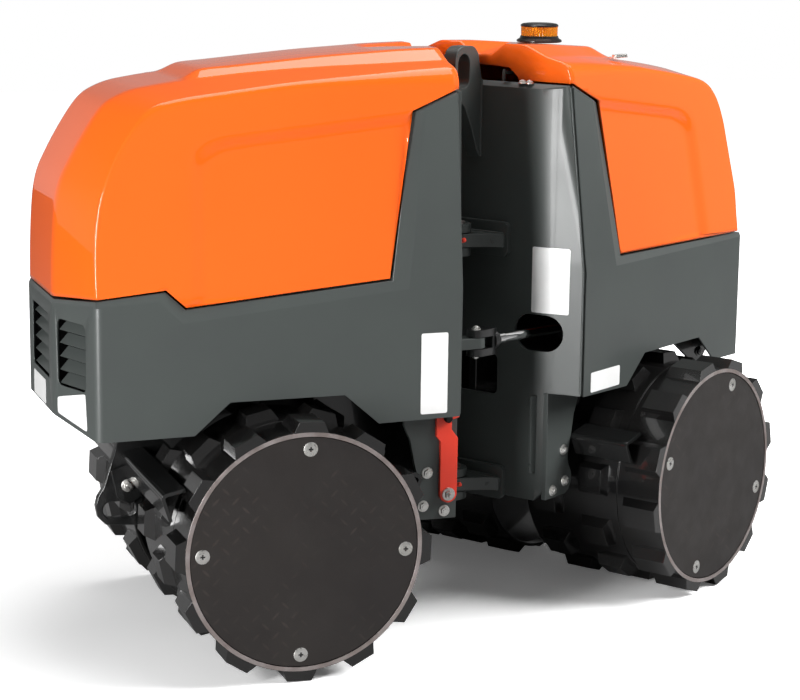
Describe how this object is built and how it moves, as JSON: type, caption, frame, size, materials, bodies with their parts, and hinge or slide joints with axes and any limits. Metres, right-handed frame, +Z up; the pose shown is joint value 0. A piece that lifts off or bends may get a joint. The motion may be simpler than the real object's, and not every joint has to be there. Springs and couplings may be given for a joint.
{
  "type": "trench roller",
  "caption": "Articulated trench roller: padded drums under two hooded modules joined at an upright hinge with a steering cylinder.",
  "frame": {"origin": "on the floor, midway along and across the bounding box of the bent machine at rest", "axes": "+X runs along the front module from its nose to the steering hinge, +Y to the side the rear module turns to, +Z up"},
  "size_m": [1.822, 1.1968, 1.336],
  "materials": {
    "amber": "gloss",
    "black_paint": "gloss",
    "black_plastic": "matte",
    "cast_black": "gloss",
    "charcoal_paint": "satin",
    "chrome": "polished",
    "engine_grey": "matte",
    "machined_steel": "satin",
    "orange_paint": "gloss",
    "red_paint": "gloss"
  },
  "bodies": {
    "front_frame": {"front_side_plates": "charcoal_paint", "front_end_panel": "charcoal_paint", "front_air_slats": "black_plastic", "front_deck": "charcoal_paint", "front_lower_side_plates": "charcoal_paint", "front_drum_carrier": "charcoal_paint", "front_axle": "machined_steel", "front_outer_scrapers": "charcoal_paint", "front_inner_scrapers": "charcoal_paint", "front_hood_hinge_brackets": "charcoal_paint", "front_end_wall": "charcoal_paint", "front_fork_ears": "charcoal_paint", "steering_pins": "machined_steel", "rod_bracket": "charcoal_paint", "engine_block": "engine_grey", "lock_bar": "red_paint"},
    "rear_frame": {"rear_side_plates": "charcoal_paint", "rear_end_panel": "charcoal_paint", "rear_air_slats": "black_plastic", "rear_deck": "charcoal_paint", "rear_lower_side_plates": "charcoal_paint", "rear_drum_carrier": "charcoal_paint", "rear_axle": "machined_steel", "rear_outer_scrapers": "charcoal_paint", "rear_inner_scrapers": "charcoal_paint", "rear_hood_hinge_brackets": "charcoal_paint", "rear_end_wall": "charcoal_paint", "rear_tongues": "charcoal_paint", "lifting_lug": "charcoal_paint", "hydraulic_tank": "engine_grey", "barrel_mount": "charcoal_paint"},
    "front_hood": {"front_hood": "orange_paint"},
    "rear_hood": {"rear_hood": "orange_paint", "beacon_base": "black_plastic", "beacon_lens": "amber"},
    "cylinder_barrel": {"cylinder_barrel": "black_paint"},
    "cylinder_rod": {"cylinder_rod": "chrome"},
    "front_left_drum": {"front_left_drum": "cast_black", "front_left_cover": "black_paint"},
    "front_right_drum": {"front_right_drum": "cast_black", "front_right_cover": "black_paint"},
    "rear_left_drum": {"rear_left_drum": "cast_black", "rear_left_cover": "black_paint"},
    "rear_right_drum": {"rear_right_drum": "cast_black", "rear_right_cover": "black_paint"}
  },
  "joints": [
    {"name": "steering", "type": "hinge", "parent": "front_frame", "child": "rear_frame", "pos_m": [0.04, -0.17337, 0.291], "axis": [0, 0, 1], "range_deg": [-66, 0]},
    {"name": "front_hood_hinge", "type": "hinge", "parent": "front_frame", "child": "front_hood", "pos_m": [-0.064, -0.17337, 1.28], "axis": [0, 1, 0], "range_deg": [0, 60]},
    {"name": "rear_hood_hinge", "type": "hinge", "parent": "rear_frame", "child": "rear_hood", "pos_m": [0.12722, -0.11673, 1.28], "axis": [0.5446, -0.8387, 0], "range_deg": [0, 60]},
    {"name": "front_left_drum_axle", "type": "hinge", "parent": "front_frame", "child": "front_left_drum", "pos_m": [-0.444, -0.17337, 0.28], "axis": [0, 1, 0], "continuous": true},
    {"name": "front_right_drum_axle", "type": "hinge", "parent": "front_frame", "child": "front_right_drum", "pos_m": [-0.444, -0.17337, 0.28], "axis": [0, 1, 0], "continuous": true},
    {"name": "rear_left_drum_axle", "type": "hinge", "parent": "rear_frame", "child": "rear_left_drum", "pos_m": [0.44592, 0.09023, 0.28], "axis": [0.5446, -0.8387, 0], "continuous": true},
    {"name": "rear_right_drum_axle", "type": "hinge", "parent": "rear_frame", "child": "rear_right_drum", "pos_m": [0.44592, 0.09023, 0.28], "axis": [0.5446, -0.8387, 0], "continuous": true},
    {"name": "cylinder_swing", "type": "hinge", "parent": "rear_frame", "child": "cylinder_barrel", "pos_m": [0.54929, -0.12403, 0.655], "axis": [0, 0, 1], "range_deg": [-1.42, 0]},
    {"name": "cylinder_stroke", "type": "slide", "parent": "cylinder_barrel", "child": "cylinder_rod", "axis": [-0.9175, -0.3978, 0], "range_m": [-0.1956, 0]}
  ],
  "couplings": [
    {"joint": "cylinder_swing", "follows": "steering", "ratio": 0.01848},
    {"joint": "cylinder_stroke", "follows": "steering", "m_per_rad": 0.16804}
  ]
}
